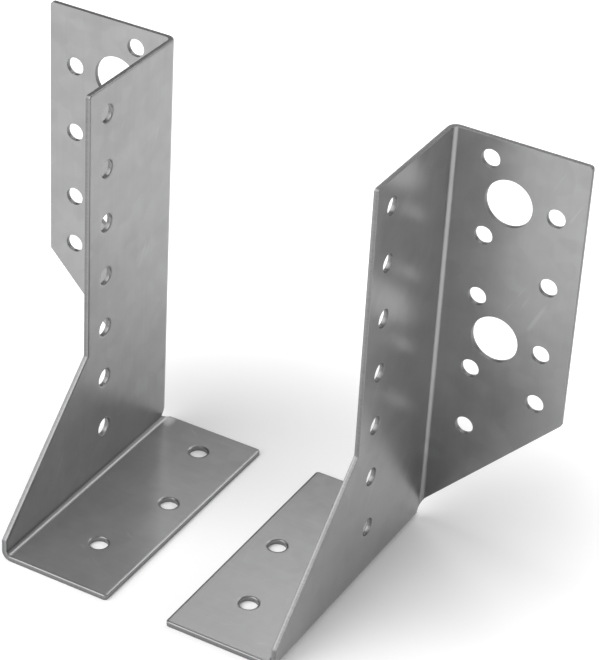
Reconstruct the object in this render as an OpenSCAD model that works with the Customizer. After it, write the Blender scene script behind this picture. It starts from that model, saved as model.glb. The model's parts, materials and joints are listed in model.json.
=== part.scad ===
// Two-part joist hanger: a left and a right half, each folded from one sheet.
// The halves stand as they are nailed up, on both sides of a joist.
// X runs across the joist, Y towards the header and Z up. The origin is the
// middle of the footprint, in the plane of the seats' undersides.
// A half is drawn as the right one, with the joist face of its web in x = 0
// and its header face in y = 0. The left one is its mirror image.

/* [Joist] */
// Width of the joist that the two halves hold between them
joist_w = 80; // [66:1:200]

/* [Sheet] */
// Thickness of the galvanised sheet
sheet_t = 1.5; // [1:0.25:2.5]
// Inside radius of the two folds
fold_r = 1.2; // [0.8:0.1:2]
// Radius of the sheet's square corners
corner_r = 1; // [0.2:0.1:2]

/* [Web] */
// Height of the hanger
height = 120; // [118:1:140]
// Depth of the web above its gusset, from the header
web_depth = 41; // [38:1:46]
// Height where the gusset starts to run out to the seat's front
gusset_z = 43; // [36:1:60]
// Height of the short upright edge at the gusset's toe
toe_z = 6; // [5:0.5:10]

/* [Header flange] */
// Width of the flange, from the joist
flange_w = 39; // [37:1:50]
// Height of the flange's lower outer corner
flange_corner_z = 44; // [30:1:46]
// Height where the flange's slanted lower edge meets its fold
flange_root_z = 6.3; // [6:0.1:10]

/* [Seat] */
// Width of the seat under the joist
seat_w = 31; // [27:1:32]
// Depth of the seat, from the header to its front edge
seat_depth = 79; // [72:1:90]
// Gap that keeps the seat's back edge off the header
seat_gap = 0.5; // [0.2:0.1:1]

/* [Holes] */
// Diameter of the nail holes
nail_d = 5; // [4:0.5:5.5]
// Diameter of the bolt holes in the flange
bolt_d = 13; // [9:1:14]

/* [Hidden] */

$fn = 64;
zinc_grey = [0.66, 0.67, 0.68];

// Folds: outside radius, and the relief where the two folds meet
fold_outer_r = fold_r + sheet_t;
relief = 0.5;

// Bolt holes in the flange: distance from the joist, from the top, and pitch
bolt_x = 18;
bolt_top = 17;
bolt_pitch = 40;
bolt_rows = [0, 1];

// Nail holes in the flange: two columns, by distance from the joist
nail_inner_x = 12;
nail_outer_x = 31;
// The inner column has a hole above and below each bolt hole, and one more
// above the place where the next bolt hole would be
nail_pair = 11;
nail_inner_drops = [
    bolt_top - nail_pair,
    bolt_top + nail_pair,
    bolt_top + bolt_pitch - nail_pair,
    bolt_top + bolt_pitch + nail_pair,
    bolt_top + 2 * bolt_pitch - nail_pair
];
// The outer column follows the bolt holes, half a pitch apart, and its last
// hole is set higher to stay clear of the slanted edge
nail_outer_last = 72;
nail_outer_drops = [
    bolt_top,
    bolt_top + bolt_pitch / 2,
    bolt_top + bolt_pitch,
    nail_outer_last
];

// Nail holes in the web: one column near its front edge
web_nail_pitch = 16;
web_nail_count = 7;
web_nail_edge = 8;

// Nail holes in the seat: a staggered row, as [distance from the web's joist
// face, distance from the header]
seat_nail_near = 17;
seat_nail_far = 23;
seat_nail_back = 11;
seat_nail_pitch = 25;
seat_nails = [
    [seat_nail_near, seat_nail_back],
    [seat_nail_far, seat_nail_back + seat_nail_pitch],
    [seat_nail_near, seat_nail_back + 2 * seat_nail_pitch]
];

// Length by which a cutting tool runs past the sheet on each side
over = 1;

// Section of a fold and the flat leg beyond it, from the sharp outside corner
// at the origin: the fold turns from -Y to +X
module fold_and_leg(leg) {
    intersection() {
        translate([0, -fold_outer_r]) square(fold_outer_r);
        translate([fold_outer_r, -fold_outer_r]) difference() {
            circle(fold_outer_r);
            circle(fold_r);
        }
    }
    translate([fold_outer_r, -sheet_t]) square([leg - fold_outer_r, sheet_t]);
}

// What rounding takes off a square corner at the origin, whose sheet lies
// towards +X and +Y
module corner_cut() {
    difference() {
        translate([-over, -over]) square(corner_r + over);
        translate([corner_r, corner_r]) circle(corner_r);
    }
}

// Flat web with its gusset, from fold to fold
module web() {
    rotate([90, 0, 90]) linear_extrude(sheet_t) difference() {
        polygon([
            [-fold_outer_r, height],
            [-web_depth, height],
            [-web_depth, gusset_z],
            [-seat_depth, toe_z],
            [-seat_depth, fold_outer_r],
            [-fold_outer_r, fold_outer_r]
        ]);
        translate([-web_depth, height]) rotate(-90) corner_cut();
    }
}

// Header flange and its fold, with the slanted lower edge carried on through
// the fold
module header_flange() {
    intersection() {
        linear_extrude(height) fold_and_leg(flange_w);
        translate([0, over, 0]) rotate([90, 0, 0])
            linear_extrude(fold_outer_r + 2 * over) difference() {
                polygon([
                    [0, fold_outer_r + relief],
                    [fold_outer_r, flange_root_z],
                    [flange_w, flange_corner_z],
                    [flange_w, height],
                    [0, height]
                ]);
                translate([flange_w, height]) rotate(180) corner_cut();
            }
    }
}

// Seat and its fold, whose back end is cut away beside the web
module seat() {
    intersection() {
        translate([sheet_t, 0, 0]) rotate([90, 0, 0]) linear_extrude(seat_depth)
            rotate(180) fold_and_leg(seat_w + sheet_t);
        translate([0, 0, -over]) linear_extrude(fold_outer_r + 2 * over) difference() {
            polygon([
                [sheet_t, -seat_depth],
                [-seat_w, -seat_depth],
                [-seat_w, -seat_gap],
                [-fold_r, -seat_gap],
                [sheet_t, -fold_outer_r - relief]
            ]);
            translate([-seat_w, -seat_depth]) corner_cut();
            translate([-seat_w, -seat_gap]) rotate(-90) corner_cut();
        }
    }
}

// Round cutter through a sheet, standing on the plane z = 0
module punch(d) {
    translate([0, 0, -over]) cylinder(d = d, h = sheet_t + 2 * over);
}

module web_holes() {
    for (i = [1 : web_nail_count])
        translate([0, web_nail_edge - web_depth, i * web_nail_pitch])
            rotate([0, 90, 0]) punch(nail_d);
}

module flange_holes() {
    for (row = bolt_rows)
        translate([bolt_x, 0, height - bolt_top - row * bolt_pitch])
            rotate([90, 0, 0]) punch(bolt_d);
    for (drop = nail_inner_drops)
        translate([nail_inner_x, 0, height - drop]) rotate([90, 0, 0]) punch(nail_d);
    for (drop = nail_outer_drops)
        translate([nail_outer_x, 0, height - drop]) rotate([90, 0, 0]) punch(nail_d);
}

module seat_holes() {
    for (at = seat_nails) translate([-at[0], -at[1], 0]) punch(nail_d);
}

// One half: a single folded sheet, with its web's joist face in x = 0
module half() {
    color(zinc_grey) difference() {
        union() {
            web();
            header_flange();
            seat();
        }
        web_holes();
        flange_holes();
        seat_holes();
    }
}

// The pair, set out on both sides of the joist
module right_half() {
    translate([joist_w / 2, seat_depth / 2, 0]) half();
}

module left_half() {
    mirror([1, 0, 0]) right_half();
}

left_half();
right_half();
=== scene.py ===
"""The two-part joist hanger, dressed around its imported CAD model.

Each half is rebuilt as the punched and folded sheet that it is: its blank is laid out
flat, with rolled and burred edges, and then folded onto the CAD solid that it stands for.
"""

import json
import math

import bmesh
import bpy
from mathutils import Matrix, Vector
from mathutils.geometry import delaunay_2d_cdt


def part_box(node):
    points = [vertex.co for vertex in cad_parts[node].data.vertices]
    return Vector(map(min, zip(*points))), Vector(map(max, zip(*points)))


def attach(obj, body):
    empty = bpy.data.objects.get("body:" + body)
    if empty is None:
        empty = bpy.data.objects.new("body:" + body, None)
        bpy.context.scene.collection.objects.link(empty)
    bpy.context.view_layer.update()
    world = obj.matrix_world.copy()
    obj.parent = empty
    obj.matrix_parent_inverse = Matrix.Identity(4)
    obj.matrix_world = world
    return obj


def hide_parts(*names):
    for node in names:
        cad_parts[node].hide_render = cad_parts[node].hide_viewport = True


MM = 0.001

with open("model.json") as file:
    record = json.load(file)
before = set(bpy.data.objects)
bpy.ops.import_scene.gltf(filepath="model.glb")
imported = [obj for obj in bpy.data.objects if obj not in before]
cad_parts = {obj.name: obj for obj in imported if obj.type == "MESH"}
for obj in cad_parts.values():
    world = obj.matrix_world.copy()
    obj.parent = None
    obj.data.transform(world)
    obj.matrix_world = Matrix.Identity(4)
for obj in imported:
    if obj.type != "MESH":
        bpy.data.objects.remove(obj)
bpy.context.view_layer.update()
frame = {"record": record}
mounts = {m["name"]: m for m in frame["record"]["mounts"]}
low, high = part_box("right_half")

# Planes of the right half, in millimetres in the part's frame
JOIST_X = mounts["joist_face_right"]["pos_m"][0] / MM
HEADER_Y = mounts["header_face_right"]["pos_m"][1] / MM
SHEET_T = mounts["joist_seat_right"]["pos_m"][2] / MM

# Sizes that the frame gives, in millimetres
HEIGHT = high[2] / MM
FLANGE_W = high[0] / MM - JOIST_X
SEAT_W = JOIST_X - low[0] / MM
SEAT_DEPTH = HEADER_Y - low[1] / MM

# Sizes that the source gives, in millimetres
WEB_DEPTH = 41
GUSSET_Z = 43
TOE_Z = 6
FLANGE_CORNER_Z = 44
SEAT_GAP = 0.5
RELIEF = 0.5
CORNER_R = 1
FOLD_R = 1.2
FOLD_OUTER_R = FOLD_R + SHEET_T

# Radii of the corners that the source leaves sharp: the blunt ones where the gusset
# starts and at the far ends of the slants, and the relief's four from the seat to the
# flange. The rolled edge is narrower round the relief.
GUSSET_R = 0.8
BLUNT_R = 0.9
RELIEF_RADII = (0.4, 0.02, 0.44, 0.1)
RELIEF_ROLL = 0.45

# The flat length of a fold, and how many steps it turns in
FOLD_LEN = math.pi / 2 * (FOLD_R + SHEET_T / 2)
FOLD_STEPS = 10

# Section of a cut edge, from the punch's side, where the sheet is drawn in, to the
# die's side, where it breaks out: distance in from the blank's edge, depth, and how
# much of the zinc is gone
EDGE_SECTION = [
    (0.70, 0.0, 0),
    (0.52, 0.008, 0),
    (0.34, 0.034, 0),
    (0.18, 0.080, 0),
    (0.07, 0.145, 0.3),
    (0.015, 0.23, 0.8),
    (0.0, 0.34, 1),
    (0.0, 0.62 * SHEET_T, 1),
    (0.03, SHEET_T - 0.12, 1),
    (0.05, SHEET_T - 0.06, 0.6),
    (0.11, SHEET_T, 0),
]

# Vertices of the blank, in millimetres: their spacing on the flat faces, how far they
# stay from an edge, and their spacing along a straight edge
GRID = 3
CLEAR_OF_EDGE = 1.0
EDGE_STEP = 3.0
# Turn between two vertices of a rounded corner. A hole has at least HOLE_SIDES vertices,
# and a large one has about its radius times QUARTER_SIDES_PER_MM in each quarter.
CORNER_STEP = math.radians(18)
HOLE_SIDES = 36
QUARTER_SIDES_PER_MM = 2.8
# Lengths that differ by less than this are equal
TOLERANCE = 1e-6
# Share of an edge's length, at each end, in which a row doesn't count as meeting it
NEAR_END = 0.001
# The triangulation: its kind of output, only what the loops enclose, and its tolerance
ENCLOSED = 1
TRIANGLE_TOLERANCE = 1e-7

# Shift of the left half's pattern, so that the two halves aren't alike
LEFT_SHIFT = 300

# Zinc, and the bare steel of the cut edges. The denoiser handles metal that is smoother
# than about 0.274 in another way, and lines show where the sheet crosses that.
ZINC_GREY = 0.32
ZINC_ROUGH = 0.297
ZINC_LEAST_ROUGH = 0.283
ZINC_METALLIC = 0.88
ZINC_BLUE = 1.01
STEEL_GREY = 0.25
STEEL_ROUGH = 0.36

# Noise over the blank: the size of its features in millimetres, its detail, and factors
# for s, t and the depth, where one below 1 draws the noise out
NOISES = {
    "cloud": (26, 1, (1, 1, 1)),
    "mottle": (7, 1, (1, 1, 1)),
    "grain": (0.5, 1, (1, 1, 1)),
    "rolling": (1.1, 1, (1, 0.03, 1)),
    "striation": (0.16, 1, (1, 1, 0.05)),
}
# Bloom and scratches are the noise's peaks, between the two values of the ramp. Scratches
# run at an angle, and only where the mottle is high.
BLOOM = (30, 2, (1, 1, 1))
BLOOM_RAMP = (0, 0.3)
SCRATCH = (1.2, 0, (1, 0.04, 1))
SCRATCH_RAMP = (0.24, 0.3)
SCRATCH_ANGLE = 0.5
SCRATCH_PATCHES = (0, 0.12)
# Spangle: smooth cells, which a noise of about their size pushes out of shape. Lengths
# are in millimetres.
SPANGLE_SIZE = 4.5
SPANGLE_SMOOTHNESS = 0.4
WARP_SIZE = 4
WARP = 1.6
# Depth over which the cut edge turns from sheared to torn
TORN_BAND = (0.35 * SHEET_T, 0.6 * SHEET_T)

# What each pattern adds: to the zinc's grey, as a share of it, to the zinc's roughness,
# to the steel's grey and roughness, and to the height in millimetres. The fold mask's share
# of the zinc's grey is a painted highlight along the folds.
ZINC_TONES = {
    "cloud": 0.2,
    "mottle": 0.16,
    "spangle": 0.08,
    "rolling": 0.06,
    "bloom": 0.07,
    "scratch": 0.12,
    # painted highlight: the zinc is lighter along the folds
    "fold_sheen": 0.1,
}
ZINC_ROUGHNESS = {
    "cloud": 0.06,
    "mottle": 0.04,
    "spangle": 0.02,
    "grain": 0.02,
    "bloom": 0.04,
    "scratch": -0.03,
    "fold_sheen": 0.04,
}
STEEL_TONES = {"striation": 0.12, "torn": -0.04, "mottle": 0.05}
STEEL_ROUGHNESS = {"torn": 0.08, "grain": 0.1}
ZINC_HEIGHTS = {"cloud": 0.05, "mottle": 0.006, "grain": 0.001, "rolling": 0.0015}
STRIATION_HEIGHT = 0.02

# Light: a world that is dim on the left and brighter on the right, a pale horizon and
# floor, a large soft key from the front left, and a low strip behind whose left end stops
# short of what the left seat mirrors. The floor's glow is lower close to the object, which
# paints shade on the floor round it and in the metal that mirrors it, and higher far away.
# A ramp's two ends are directions for the world and metres for the floor.
WORLD_SIDES = (-0.3, 0.5)
WORLD_LIGHT = (0.07, 0.45)
HORIZON = (0.1, 0.26)
HORIZON_GLOW = 1.0
FLOOR_GREY = 0.9
FLOOR_GLOW = 0.46
FLOOR_MIDDLE = (0.01, 0.015, -0.05 * MM)
# Where the floor's glow dips close to the object, a painted shade round it, and how low it goes
GLOW_REACH = (0.045, 0.125)
GLOW_LEAST = 0.25
FAR_REACH = (0.6, 3.0)
FAR_GLOW = 0.4
FLOOR_HALF = 20
LIT_POINT = Vector((0, 0, 0.06))
KEY = {"centre": (-0.62, -0.74, 1.21), "width": 1.9, "height": 1.9, "power": 30}
STRIP = {"centre": (0.045, 0.6, 0.65), "width": 0.94, "height": 0.15, "power": 1.55}

# Camera: its direction from the object, roll, distance, lens, the point that it looks at,
# and how near and far it sees
VIEW_AZIMUTH = math.radians(27.994)
VIEW_ELEVATION = math.radians(32.565)
VIEW_ROLL = math.radians(3.37)
VIEW_DISTANCE = 652.7 * MM
VIEW_TARGET = Vector((22.1, -0.5, 73.4)) * MM
LENS = 143.3
SENSOR = 36
VIEW_NEAR = 0.01
VIEW_FAR = 60


# The blank lies flat in millimetres. s runs from the web to the flange and t upwards.
# The flat web ends at the flange's fold in s = 0 and at the seat's fold in t = 0.
# The depth h is 0 on the face towards the joist and SHEET_T on the other one.


def folded(s, t, h):
    """Where a point of the right half's blank is once it is folded, and which way s, t
    and h run there."""
    if t >= 0 and s > 0:
        turn = min(s / FOLD_LEN, 1) * math.pi / 2
        c, n, r = math.cos(turn), math.sin(turn), FOLD_OUTER_R - h
        flat = max(s - FOLD_LEN, 0)
        place = Vector((FOLD_OUTER_R - r * c + flat, r * n - FOLD_OUTER_R, FOLD_OUTER_R + t))
        return place, Vector((n, c, 0)), Vector((0, 0, 1)), Vector((c, -n, 0))
    turn = min(max(-t, 0) / FOLD_LEN, 1) * math.pi / 2
    c, n, r = math.cos(turn), math.sin(turn), FOLD_R + h
    flat = max(-t - FOLD_LEN, 0)
    rise = max(t, 0)
    place = Vector((r * c - FOLD_R - flat, s - FOLD_OUTER_R, FOLD_OUTER_R - r * n + rise))
    return place, Vector((0, 1, 0)), Vector((n, 0, c)), Vector((c, 0, -n))


def fold_sheen(s, t):
    """How far into a fold a point of the blank lies: 0 on the flat, 1 in the fold's middle. The
    zinc's painted highlight along the folds follows it.
    """
    share = s / FOLD_LEN if t >= 0 else -t / FOLD_LEN
    return math.sin(math.pi * min(max(share, 0), 1))


class Loop:
    """A closed edge of the blank: its points, and at each one the unit normal into the
    sheet, the way in for 1 mm of inset, and the fold's row that the point lies on."""

    def __init__(self):
        self.points, self.normals, self.ways, self.rows = [], [], [], []

    def add(self, point, normal, way=None, row=None):
        self.points.append(point)
        self.normals.append(normal)
        self.ways.append(normal if way is None else way)
        self.rows.append(row)


def hole_loop(s, t, radius):
    """A round hole's edge, clockwise, so that the sheet is on its left as on the
    outline's."""
    loop = Loop()
    count = max(HOLE_SIDES, 4 * round(radius * QUARTER_SIDES_PER_MM))
    for i in range(count):
        a = -2 * math.pi * i / count
        out = Vector((math.cos(a), math.sin(a)))
        loop.add(Vector((s, t)) + out * radius, out)
    return loop


def outline_corners():
    """Corners of the blank's outline, anticlockwise, each with the radius that rounds it
    and how wide its rolled edge is."""
    web_front = FOLD_OUTER_R - WEB_DEPTH
    seat_front = FOLD_OUTER_R - SEAT_DEPTH
    seat_back = FOLD_OUTER_R - SEAT_GAP
    seat_end = FOLD_R - SEAT_W - FOLD_LEN
    flange_end = FLANGE_W - FOLD_OUTER_R + FOLD_LEN
    top = HEIGHT - FOLD_OUTER_R
    return [
        (web_front, top, CORNER_R, 1),
        (web_front, GUSSET_Z - FOLD_OUTER_R, GUSSET_R, 1),
        (seat_front, TOE_Z - FOLD_OUTER_R, BLUNT_R, 1),
        (seat_front, seat_end, CORNER_R, 1),
        (seat_back, seat_end, CORNER_R, 1),
        (seat_back, -FOLD_LEN, RELIEF_RADII[0], RELIEF_ROLL),
        (-RELIEF, 0, RELIEF_RADII[1], RELIEF_ROLL),
        (0, 0, RELIEF_RADII[2], RELIEF_ROLL),
        (0, RELIEF, RELIEF_RADII[3], RELIEF_ROLL),
        (flange_end, FLANGE_CORNER_Z - FOLD_OUTER_R, BLUNT_R, 1),
        (flange_end, top, CORNER_R, 1),
    ]


def left_of(way):
    """A direction turned a quarter to the left."""
    return Vector((-way.y, way.x))


def rows_between(start, end):
    """Where a straight edge meets the rows of a fold: its share of the way, the row, and
    the way that the row runs."""
    found = []
    step = FOLD_LEN / FOLD_STEPS
    for k in range(FOLD_STEPS + 1):
        for axis, at, along in ((0, k * step, Vector((0, 1))), (1, -k * step, Vector((1, 0)))):
            span = end[axis] - start[axis]
            if abs(span) < TOLERANCE:
                continue
            share = (at - start[axis]) / span
            if not NEAR_END < share < 1 - NEAR_END:
                continue
            point = start.lerp(end, share)
            in_flange_fold = axis == 0 and point.y > 0
            in_seat_fold = axis == 1 and point.x < FOLD_OUTER_R
            if in_flange_fold or in_seat_fold:
                found.append((share, (axis, k), along))
    return found


def outline_loop():
    """The blank's outline, with rounded corners and a vertex on each row that it meets."""
    corners = outline_corners()
    count = len(corners)
    loop = Loop()
    arcs = []
    for i, (s, t, radius, roll) in enumerate(corners):
        here = Vector((s, t))
        before = (here - Vector(corners[i - 1][:2])).normalized()
        after = (Vector(corners[(i + 1) % count][:2]) - here).normalized()
        turn = math.atan2(before.cross(after), before.dot(after))
        cut = radius * math.tan(abs(turn) / 2)
        arcs.append((here - before * cut, here + after * cut, before, after, turn, radius, roll))
    for i, (start, end, before, after, turn, radius, roll) in enumerate(arcs):
        side = math.copysign(1, turn)
        centre = start + left_of(before) * side * radius
        steps = max(2, round(abs(turn) / CORNER_STEP))
        for k in range(steps + 1):
            normal = left_of(Matrix.Rotation(turn * k / steps, 2) @ before)
            loop.add(centre - normal * side * radius, normal, normal * roll)
        following, *_, next_roll = arcs[(i + 1) % count]
        reach = (following - end).length
        normal = left_of(after)
        marks = rows_between(end, following)
        pieces = max(1, round(reach / EDGE_STEP))
        for k in range(1, pieces):
            share = k / pieces
            if all(abs(share - m[0]) * reach > EDGE_STEP / 4 for m in marks):
                marks.append((share, None, None))
        for share, row, along in sorted(marks, key=lambda m: m[0]):
            way = normal if row is None else along / along.dot(normal)
            way = way * (roll + (next_roll - roll) * share)
            loop.add(end.lerp(following, share), normal, way, row)
    return loop


def pattern_points(name):
    """Centres of a stated pattern's holes, in millimetres in the part's frame, and their
    radius."""
    mount = mounts[name]
    axis = [abs(a) for a in mount["axis"]].index(1)
    first, second = [a for a in range(3) if a != axis]
    halves = []
    for key in ("spacing_x_mm", "spacing_y_mm"):
        half = mount["dims"].get(key, 0) / 2
        halves.append([-half, half] if half else [0])
    centres = []
    for a in halves[0]:
        for b in halves[1]:
            point = [v / MM for v in mount["pos_m"]]
            point[first] += a
            point[second] += b
            centres.append(tuple(round(v, 3) for v in point))
    return centres, mount["dims"]["hole_r_mm"]


def hole_loops():
    """The right half's holes, from the patterns that the record states: each hole's centre
    on the blank and radius, and its loop."""
    loops, done = [], set()
    for name in mounts:
        if mounts[name]["kind"] != "bolt_pattern" or "_left" in name:
            continue
        centres, radius = pattern_points(name)
        for x, y, z in centres:
            if x < 0 or (x, y, z) in done:
                continue
            done.add((x, y, z))
            if name.startswith("header"):
                s, t = x - JOIST_X - FOLD_OUTER_R + FOLD_LEN, z - FOLD_OUTER_R
            elif name.startswith("joist"):
                s, t = y - HEADER_Y + FOLD_OUTER_R, z - FOLD_OUTER_R
            else:
                s, t = y - HEADER_Y + FOLD_OUTER_R, x - JOIST_X + FOLD_R - FOLD_LEN
            loops.append(((s, t, radius), hole_loop(s, t, radius)))
    return loops


def distance_to(point, loop_points):
    """The shortest distance from a point to a closed loop."""
    best = math.inf
    for a, b in zip(loop_points, loop_points[1:] + loop_points[:1]):
        side = b - a
        share = min(max((point - a).dot(side) / side.length_squared, 0), 1)
        best = min(best, (point - a - side * share).length)
    return best


def inside(point, loop_points):
    """Whether a closed loop goes round a point."""
    odd = False
    for a, b in zip(loop_points, loop_points[1:] + loop_points[:1]):
        if (a.y > point.y) != (b.y > point.y):
            if point.x < (b.x - a.x) * (point.y - a.y) / (b.y - a.y) + a.x:
                odd = not odd
    return odd


def steps_between(first, last, step):
    """Evenly spaced numbers from first to last, about a step apart."""
    count = max(1, round((last - first) / step))
    return [first + (last - first) * i / count for i in range(count + 1)]


def inner_points(outline, holes):
    """Points of the flat faces, and those of each fold's rows."""
    s_values = [p.x for p in outline.points]
    t_values = [p.y for p in outline.points]
    flat_s = steps_between(min(s_values), 0, GRID) + steps_between(FOLD_LEN, max(s_values), GRID)
    flat_t = steps_between(min(t_values), -FOLD_LEN, GRID) + steps_between(0, max(t_values), GRID)
    step = FOLD_LEN / FOLD_STEPS

    def fits(point):
        if not inside(point, outline.points):
            return False
        if distance_to(point, outline.points) < CLEAR_OF_EDGE:
            return False
        return all((point - Vector((s, t))).length > r + CLEAR_OF_EDGE for (s, t, r), _ in holes)

    points = []
    for s in flat_s:
        for t in flat_t:
            on_row = min(abs(s), abs(s - FOLD_LEN), abs(t), abs(t + FOLD_LEN)) < TOLERANCE
            if not on_row and fits(Vector((s, t))):
                points.append(Vector((s, t)))
    rows = {}
    for k in range(FOLD_STEPS + 1):
        line = [Vector((k * step, t)) for t in flat_t if t > 0]
        rows[(0, k)] = [p for p in line if fits(p)]
        line = [Vector((s, -k * step)) for s in flat_s if s < 0]
        rows[(1, k)] = [p for p in line if fits(p)]
    return points, rows


def face_triangles(rings, points, rows, row_ends):
    """Triangles over one face. rings holds, for each loop, the (point, vertex) pairs of its
    edge, and row_ends the edge's vertices that each row ends in. Returns the triangles as
    vertices, where an inner point is given as ("inner", index), and the inner points."""
    coords, keys, edges = [], [], []
    at = {}
    for ring in rings:
        first = len(coords)
        for point, key in ring:
            at[key] = len(coords)
            coords.append(point)
            keys.append(key)
        count = len(ring)
        edges += [(first + i, first + (i + 1) % count) for i in range(count)]
    inner = list(points) + [p for line in rows.values() for p in line]
    cursor = len(coords) + len(points)
    coords += inner
    keys += [("inner", i) for i in range(len(inner))]
    for row, line in rows.items():
        chain = list(range(cursor, cursor + len(line)))
        cursor += len(line)
        if not chain:
            continue
        for end in row_ends.get(row, []):
            near = min(chain, key=lambda c: (coords[c] - coords[at[end]]).length)
            edges.append((at[end], near))
        edges += list(zip(chain, chain[1:]))
    found = delaunay_2d_cdt(coords, edges, [], ENCLOSED, TRIANGLE_TOLERANCE)
    verts, _, faces, origins, _, _ = found
    if any(not o for o in origins):
        raise RuntimeError("the blank's edges cross each other")
    triangles = []
    for face in faces:
        middle = sum((verts[v] for v in face), Vector((0, 0))) / len(face)
        if any(inside(middle, [point for point, _ in ring]) for ring in rings[1:]):
            continue
        triangles.append([keys[origins[v][0]] for v in face])
    return triangles, inner


def closed_mesh(name, verts, faces):
    """A mesh with its faces turned outwards, that must have no open edge."""
    mesh = bpy.data.meshes.new(name)
    mesh.from_pydata(verts, [], faces)
    work = bmesh.new()
    work.from_mesh(mesh)
    bmesh.ops.recalc_face_normals(work, faces=work.faces)
    if work.calc_volume(signed=True) < 0:
        bmesh.ops.reverse_faces(work, faces=work.faces)
    open_edges = sum(1 for e in work.edges if len(e.link_faces) != 2)
    if open_edges:
        raise RuntimeError(f"{name} has {open_edges} open edges")
    work.to_mesh(mesh)
    work.free()
    return mesh


def section_normal(j):
    """The cut edge's normal at a row of its section: out of the blank, and in depth."""
    last = len(EDGE_SECTION) - 1
    if j in (0, last):
        return 0, -1 if j == 0 else 1
    before, after = EDGE_SECTION[j - 1], EDGE_SECTION[j + 1]
    run = Vector((after[0] - before[0], after[1] - before[1])).normalized()
    return run.y, run.x


def build_half(name, node, mirrored):
    """One half as a single closed mesh, folded from its blank."""
    outline = outline_loop()
    holes = hole_loops()
    points, rows = inner_points(outline, holes)
    verts, normals, blanks, bares, fold_sheens, faces = [], [], [], [], [], []
    shift = LEFT_SHIFT if mirrored else 0

    def vertex(point, h, normal, bare):
        place, along_s, along_t, along_h = folded(point.x, point.y, h)
        turned = along_s * normal[0] + along_t * normal[1] + along_h * normal[2]
        place = place + Vector((JOIST_X, HEADER_Y, 0))
        if mirrored:
            place.x, turned.x = -place.x, -turned.x
        verts.append(place * MM)
        normals.append(turned.normalized())
        blanks.append((point.x + shift, point.y, h))
        bares.append(bare)
        fold_sheens.append(fold_sheen(point.x, point.y))
        return len(verts) - 1

    # The cut edges, and for the two flat faces the rings that bound them
    rings = ([], [])
    row_ends = ({}, {})
    for loop in [outline] + [loop for _, loop in holes]:
        section = []
        for j, (inset, h, bare) in enumerate(EDGE_SECTION):
            out, deep = section_normal(j)
            ring = []
            for point, normal, way in zip(loop.points, loop.normals, loop.ways):
                at = point + way * inset
                ring.append(vertex(at, h, (-normal.x * out, -normal.y * out, deep), bare))
            section.append(ring)
        for upper, lower in zip(section, section[1:]):
            count = len(upper)
            for i in range(count):
                k = (i + 1) % count
                faces.append((upper[i], upper[k], lower[k], lower[i]))
        for side, j in enumerate((0, -1)):
            inset = EDGE_SECTION[j][0]
            pairs = []
            for i, key in enumerate(section[j]):
                pairs.append((loop.points[i] + loop.ways[i] * inset, key))
                if loop.rows[i] is not None:
                    row_ends[side].setdefault(loop.rows[i], []).append(key)
            rings[side].append(pairs)

    for side, (h, down) in enumerate(((0, -1), (SHEET_T, 1))):
        triangles, inner = face_triangles(rings[side], points, rows, row_ends[side])
        made = {}
        for triangle in triangles:
            corners = []
            for key in triangle:
                if isinstance(key, tuple):
                    if key not in made:
                        made[key] = vertex(inner[key[1]], h, (0, 0, down), 0)
                    key = made[key]
                corners.append(key)
            faces.append(tuple(corners))

    mesh = closed_mesh(name, verts, faces)
    for polygon in mesh.polygons:
        polygon.use_smooth = True
    mesh.normals_split_custom_set_from_vertices(normals)
    blank = mesh.attributes.new("blank", "FLOAT_VECTOR", "POINT")
    blank.data.foreach_set("vector", [c for b in blanks for c in b])
    # The fold mask carries the zinc's painted highlight along the folds
    for label, values in (("bare", bares), ("fold_sheen", fold_sheens)):
        mesh.attributes.new(label, "FLOAT", "POINT").data.foreach_set("value", values)
    piece = bpy.data.objects.new(name, mesh)
    bpy.context.scene.collection.objects.link(piece)
    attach(piece, "root")
    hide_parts(node)
    return piece


def add_camera():
    """A long lens from the front right and above."""
    level = math.cos(VIEW_ELEVATION)
    back = Vector(
        (
            math.sin(VIEW_AZIMUTH) * level,
            -math.cos(VIEW_AZIMUTH) * level,
            math.sin(VIEW_ELEVATION),
        )
    )
    right = Vector((0, 0, 1)).cross(back).normalized()
    up = back.cross(right)
    tilted_right = math.cos(VIEW_ROLL) * right + math.sin(VIEW_ROLL) * up
    tilted_up = math.cos(VIEW_ROLL) * up - math.sin(VIEW_ROLL) * right
    data = bpy.data.cameras.new("view")
    data.lens = LENS
    data.sensor_width = SENSOR
    data.clip_start = VIEW_NEAR
    data.clip_end = VIEW_FAR
    camera = bpy.data.objects.new("view", data)
    turn = Matrix((tilted_right, tilted_up, back)).transposed().to_4x4()
    camera.matrix_world = Matrix.Translation(VIEW_TARGET + back * VIEW_DISTANCE) @ turn
    bpy.context.scene.collection.objects.link(camera)
    bpy.context.scene.camera = camera


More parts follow.
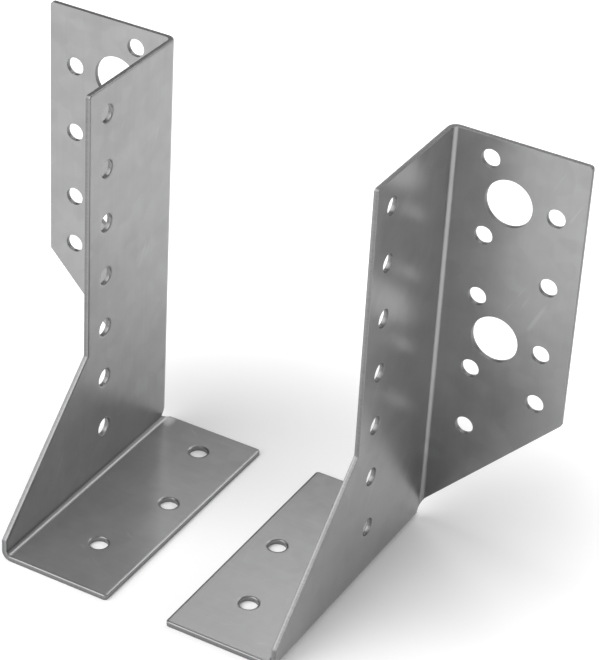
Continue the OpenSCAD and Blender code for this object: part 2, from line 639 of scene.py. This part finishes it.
class Graph:
    """A shader's nodes, which are added with their settings and links."""

    def __init__(self, owner):
        owner.use_nodes = True
        self.tree = owner.node_tree
        self.tree.nodes.clear()

    def add(self, kind, settings=None, **inputs):
        node = self.tree.nodes.new("ShaderNode" + kind)
        for key, value in (settings or {}).items():
            setattr(node, key, value)
        for key, value in inputs.items():
            self.feed(node.inputs[key.replace("_", " ")], value)
        return node

    def feed(self, socket, value):
        if isinstance(value, bpy.types.NodeSocket):
            self.tree.links.new(value, socket)
        else:
            socket.default_value = value

    def fed(self, kind, settings, *values):
        """A node whose inputs are filled in their order."""
        node = self.add(kind, settings)
        for socket, value in zip(node.inputs, values):
            self.feed(socket, value)
        return node

    def math(self, operation, *values):
        return self.fed("Math", {"operation": operation}, *values).outputs[0]

    def vectors(self, operation, *values):
        return self.fed("VectorMath", {"operation": operation}, *values).outputs

    def ramp(self, value, start, end, low=0.0, high=1.0):
        settings = {"interpolation_type": "SMOOTHSTEP"}
        ends = {"From_Min": start, "From_Max": end, "To_Min": low, "To_Max": high}
        return self.add("MapRange", settings, Value=value, **ends).outputs[0]

    def noise(self, vector, size, detail, stretch):
        """Noise between about -0.5 and 0.5, with features of the given size."""
        if stretch != (1, 1, 1):
            vector = self.vectors("MULTIPLY", vector, stretch)[0]
        node = self.add("TexNoise", Vector=vector, Scale=1 / size, Detail=detail)
        return self.math("SUBTRACT", node.outputs[0], 0.5)

    def total(self, start, values, factors):
        """start plus each factor times its value."""
        for name, factor in factors.items():
            start = self.math("MULTIPLY_ADD", values[name], factor, start)
        return start

    def seen_directly(self):
        """1 for camera, glossy and transmission rays, 0 for those that carry plain light."""
        path = self.add("LightPath").outputs
        first = self.math("MAXIMUM", path["Is Camera Ray"], path["Is Glossy Ray"])
        return self.math("MAXIMUM", first, path["Is Transmission Ray"])


def add_world():
    """A plain surround with a pale horizon, which is only seen and mirrored."""
    world = bpy.data.worlds.new("studio")
    g = Graph(world)
    way = g.add("SeparateXYZ", Vector=g.add("TexCoord").outputs["Generated"]).outputs
    light = g.ramp(way["X"], *WORLD_SIDES, *WORLD_LIGHT)
    pale = g.math("MULTIPLY", g.ramp(way["Z"], *HORIZON, HORIZON_GLOW, 0.0), g.seen_directly())
    strength = g.math("MAXIMUM", light, pale)
    sky = g.add("Background", Color=(1, 1, 1, 1), Strength=strength)
    g.add("OutputWorld", Surface=sky.outputs[0])
    bpy.context.scene.world = world


def add_floor():
    """A pale floor that takes the object's shadow. Its glow is only seen and mirrored, and is
    lower close to the object as a painted shade round it.
    """
    mesh = bpy.data.meshes.new("floor")
    signs = ((-1, -1), (1, -1), (1, 1), (-1, 1))
    corners = [(x * FLOOR_HALF, y * FLOOR_HALF, 0) for x, y in signs]
    mesh.from_pydata(corners, [], [(0, 1, 2, 3)])
    floor = bpy.data.objects.new("floor", mesh)
    floor.location = FLOOR_MIDDLE
    bpy.context.scene.collection.objects.link(floor)
    material = bpy.data.materials.new("floor")
    g = Graph(material)
    diffuse = g.add("BsdfDiffuse", Color=(FLOOR_GREY, FLOOR_GREY, FLOOR_GREY, 1))
    away = g.vectors("LENGTH", g.add("TexCoord").outputs["Object"])["Value"]
    # The glow dips close to the object: a painted shade on the floor round it and in the metal
    # that mirrors it
    glow_strength = g.ramp(away, *GLOW_REACH, GLOW_LEAST * FLOOR_GLOW, FLOOR_GLOW)
    glow_strength = g.math("ADD", glow_strength, g.ramp(away, *FAR_REACH, 0.0, FAR_GLOW))
    glow = g.add("Emission", Strength=g.math("MULTIPLY", g.seen_directly(), glow_strength))
    both = g.fed("AddShader", {}, diffuse.outputs[0], glow.outputs[0])
    g.add("OutputMaterial", Surface=both.outputs[0])
    mesh.materials.append(material)


def add_lamp(name, centre, width, height, power):
    """A soft rectangular lamp that faces the object."""
    data = bpy.data.lights.new(name, "AREA")
    data.shape = "RECTANGLE"
    data.size = width
    data.size_y = height
    data.energy = power
    lamp = bpy.data.objects.new(name, data)
    lamp.location = centre
    lamp.rotation_mode = "QUATERNION"
    lamp.rotation_quaternion = (LIT_POINT - lamp.location).to_track_quat("-Z", "Y")
    bpy.context.scene.collection.objects.link(lamp)


def zinc():
    """Galvanised sheet: faint spangle and clouds on the faces, a painted highlight along the
    folds, bare steel on the cut edges.
    """
    material = bpy.data.materials.new("galvanised_sheet")
    g = Graph(material)
    blank = g.add("Attribute", {"attribute_name": "blank"}).outputs["Vector"]
    bare = g.add("Attribute", {"attribute_name": "bare"}).outputs["Fac"]
    depth = g.add("SeparateXYZ", Vector=blank).outputs["Z"]

    values = {name: g.noise(blank, *noise) for name, noise in NOISES.items()}
    # The fold mask lightens the zinc along the folds as a painted highlight, and roughens it
    values["fold_sheen"] = g.add("Attribute", {"attribute_name": "fold_sheen"}).outputs["Fac"]
    values["torn"] = g.ramp(depth, *TORN_BAND)
    values["bloom"] = g.ramp(g.noise(blank, *BLOOM), *BLOOM_RAMP)

    push = g.add("TexNoise", Vector=blank, Scale=1 / WARP_SIZE, Detail=0.0).outputs["Color"]
    cells = g.add(
        "TexVoronoi",
        {"feature": "SMOOTH_F1"},
        Vector=g.vectors("MULTIPLY_ADD", push, (WARP, WARP, WARP), blank)[0],
        Scale=1 / SPANGLE_SIZE,
        Smoothness=SPANGLE_SMOOTHNESS,
    )
    shade = g.add("SeparateColor", Color=cells.outputs["Color"]).outputs[0]
    values["spangle"] = g.math("SUBTRACT", shade, 0.5)

    turned = g.add("VectorRotate", {"rotation_type": "Z_AXIS"}, Vector=blank, Angle=SCRATCH_ANGLE)
    scratch = g.ramp(g.noise(turned.outputs[0], *SCRATCH), *SCRATCH_RAMP)
    patches = g.ramp(values["mottle"], *SCRATCH_PATCHES)
    values["scratch"] = g.math("MULTIPLY", scratch, patches)

    grey = g.math("MULTIPLY", g.total(1.0, values, ZINC_TONES), ZINC_GREY)
    rough = g.math("MAXIMUM", g.total(ZINC_ROUGH, values, ZINC_ROUGHNESS), ZINC_LEAST_ROUGH)
    steel = g.total(STEEL_GREY, values, STEEL_TONES)
    steel_rough = g.total(STEEL_ROUGH, values, STEEL_ROUGHNESS)

    def mixed(a, b):
        return g.math("ADD", a, g.math("MULTIPLY", g.math("SUBTRACT", b, a), bare))

    tone = mixed(grey, steel)
    blue = g.math("MULTIPLY", tone, ZINC_BLUE)
    colour = g.add("CombineColor", Red=tone, Green=tone, Blue=blue)
    height = g.total(0.0, values, ZINC_HEIGHTS)
    scored = g.math("MULTIPLY", values["striation"], bare)
    height = g.math("MULTIPLY_ADD", scored, STRIATION_HEIGHT, height)
    bump = g.add("Bump", Strength=1.0, Distance=MM, Height=height)
    shader = g.add(
        "BsdfPrincipled",
        Metallic=ZINC_METALLIC,
        Base_Color=colour.outputs[0],
        Roughness=mixed(rough, steel_rough),
        Normal=bump.outputs[0],
    )
    g.add("OutputMaterial", Surface=shader.outputs[0])
    return material


bpy.context.scene.view_settings.view_transform = "Standard"
add_camera()
add_world()
add_floor()
add_lamp("key", **KEY)
add_lamp("strip", **STRIP)

finish = zinc()
for name, node, mirrored in (
    ("left_sheet", "left_half", True),
    ("right_sheet", "right_half", False),
):
    build_half(name, node, mirrored).data.materials.append(finish)
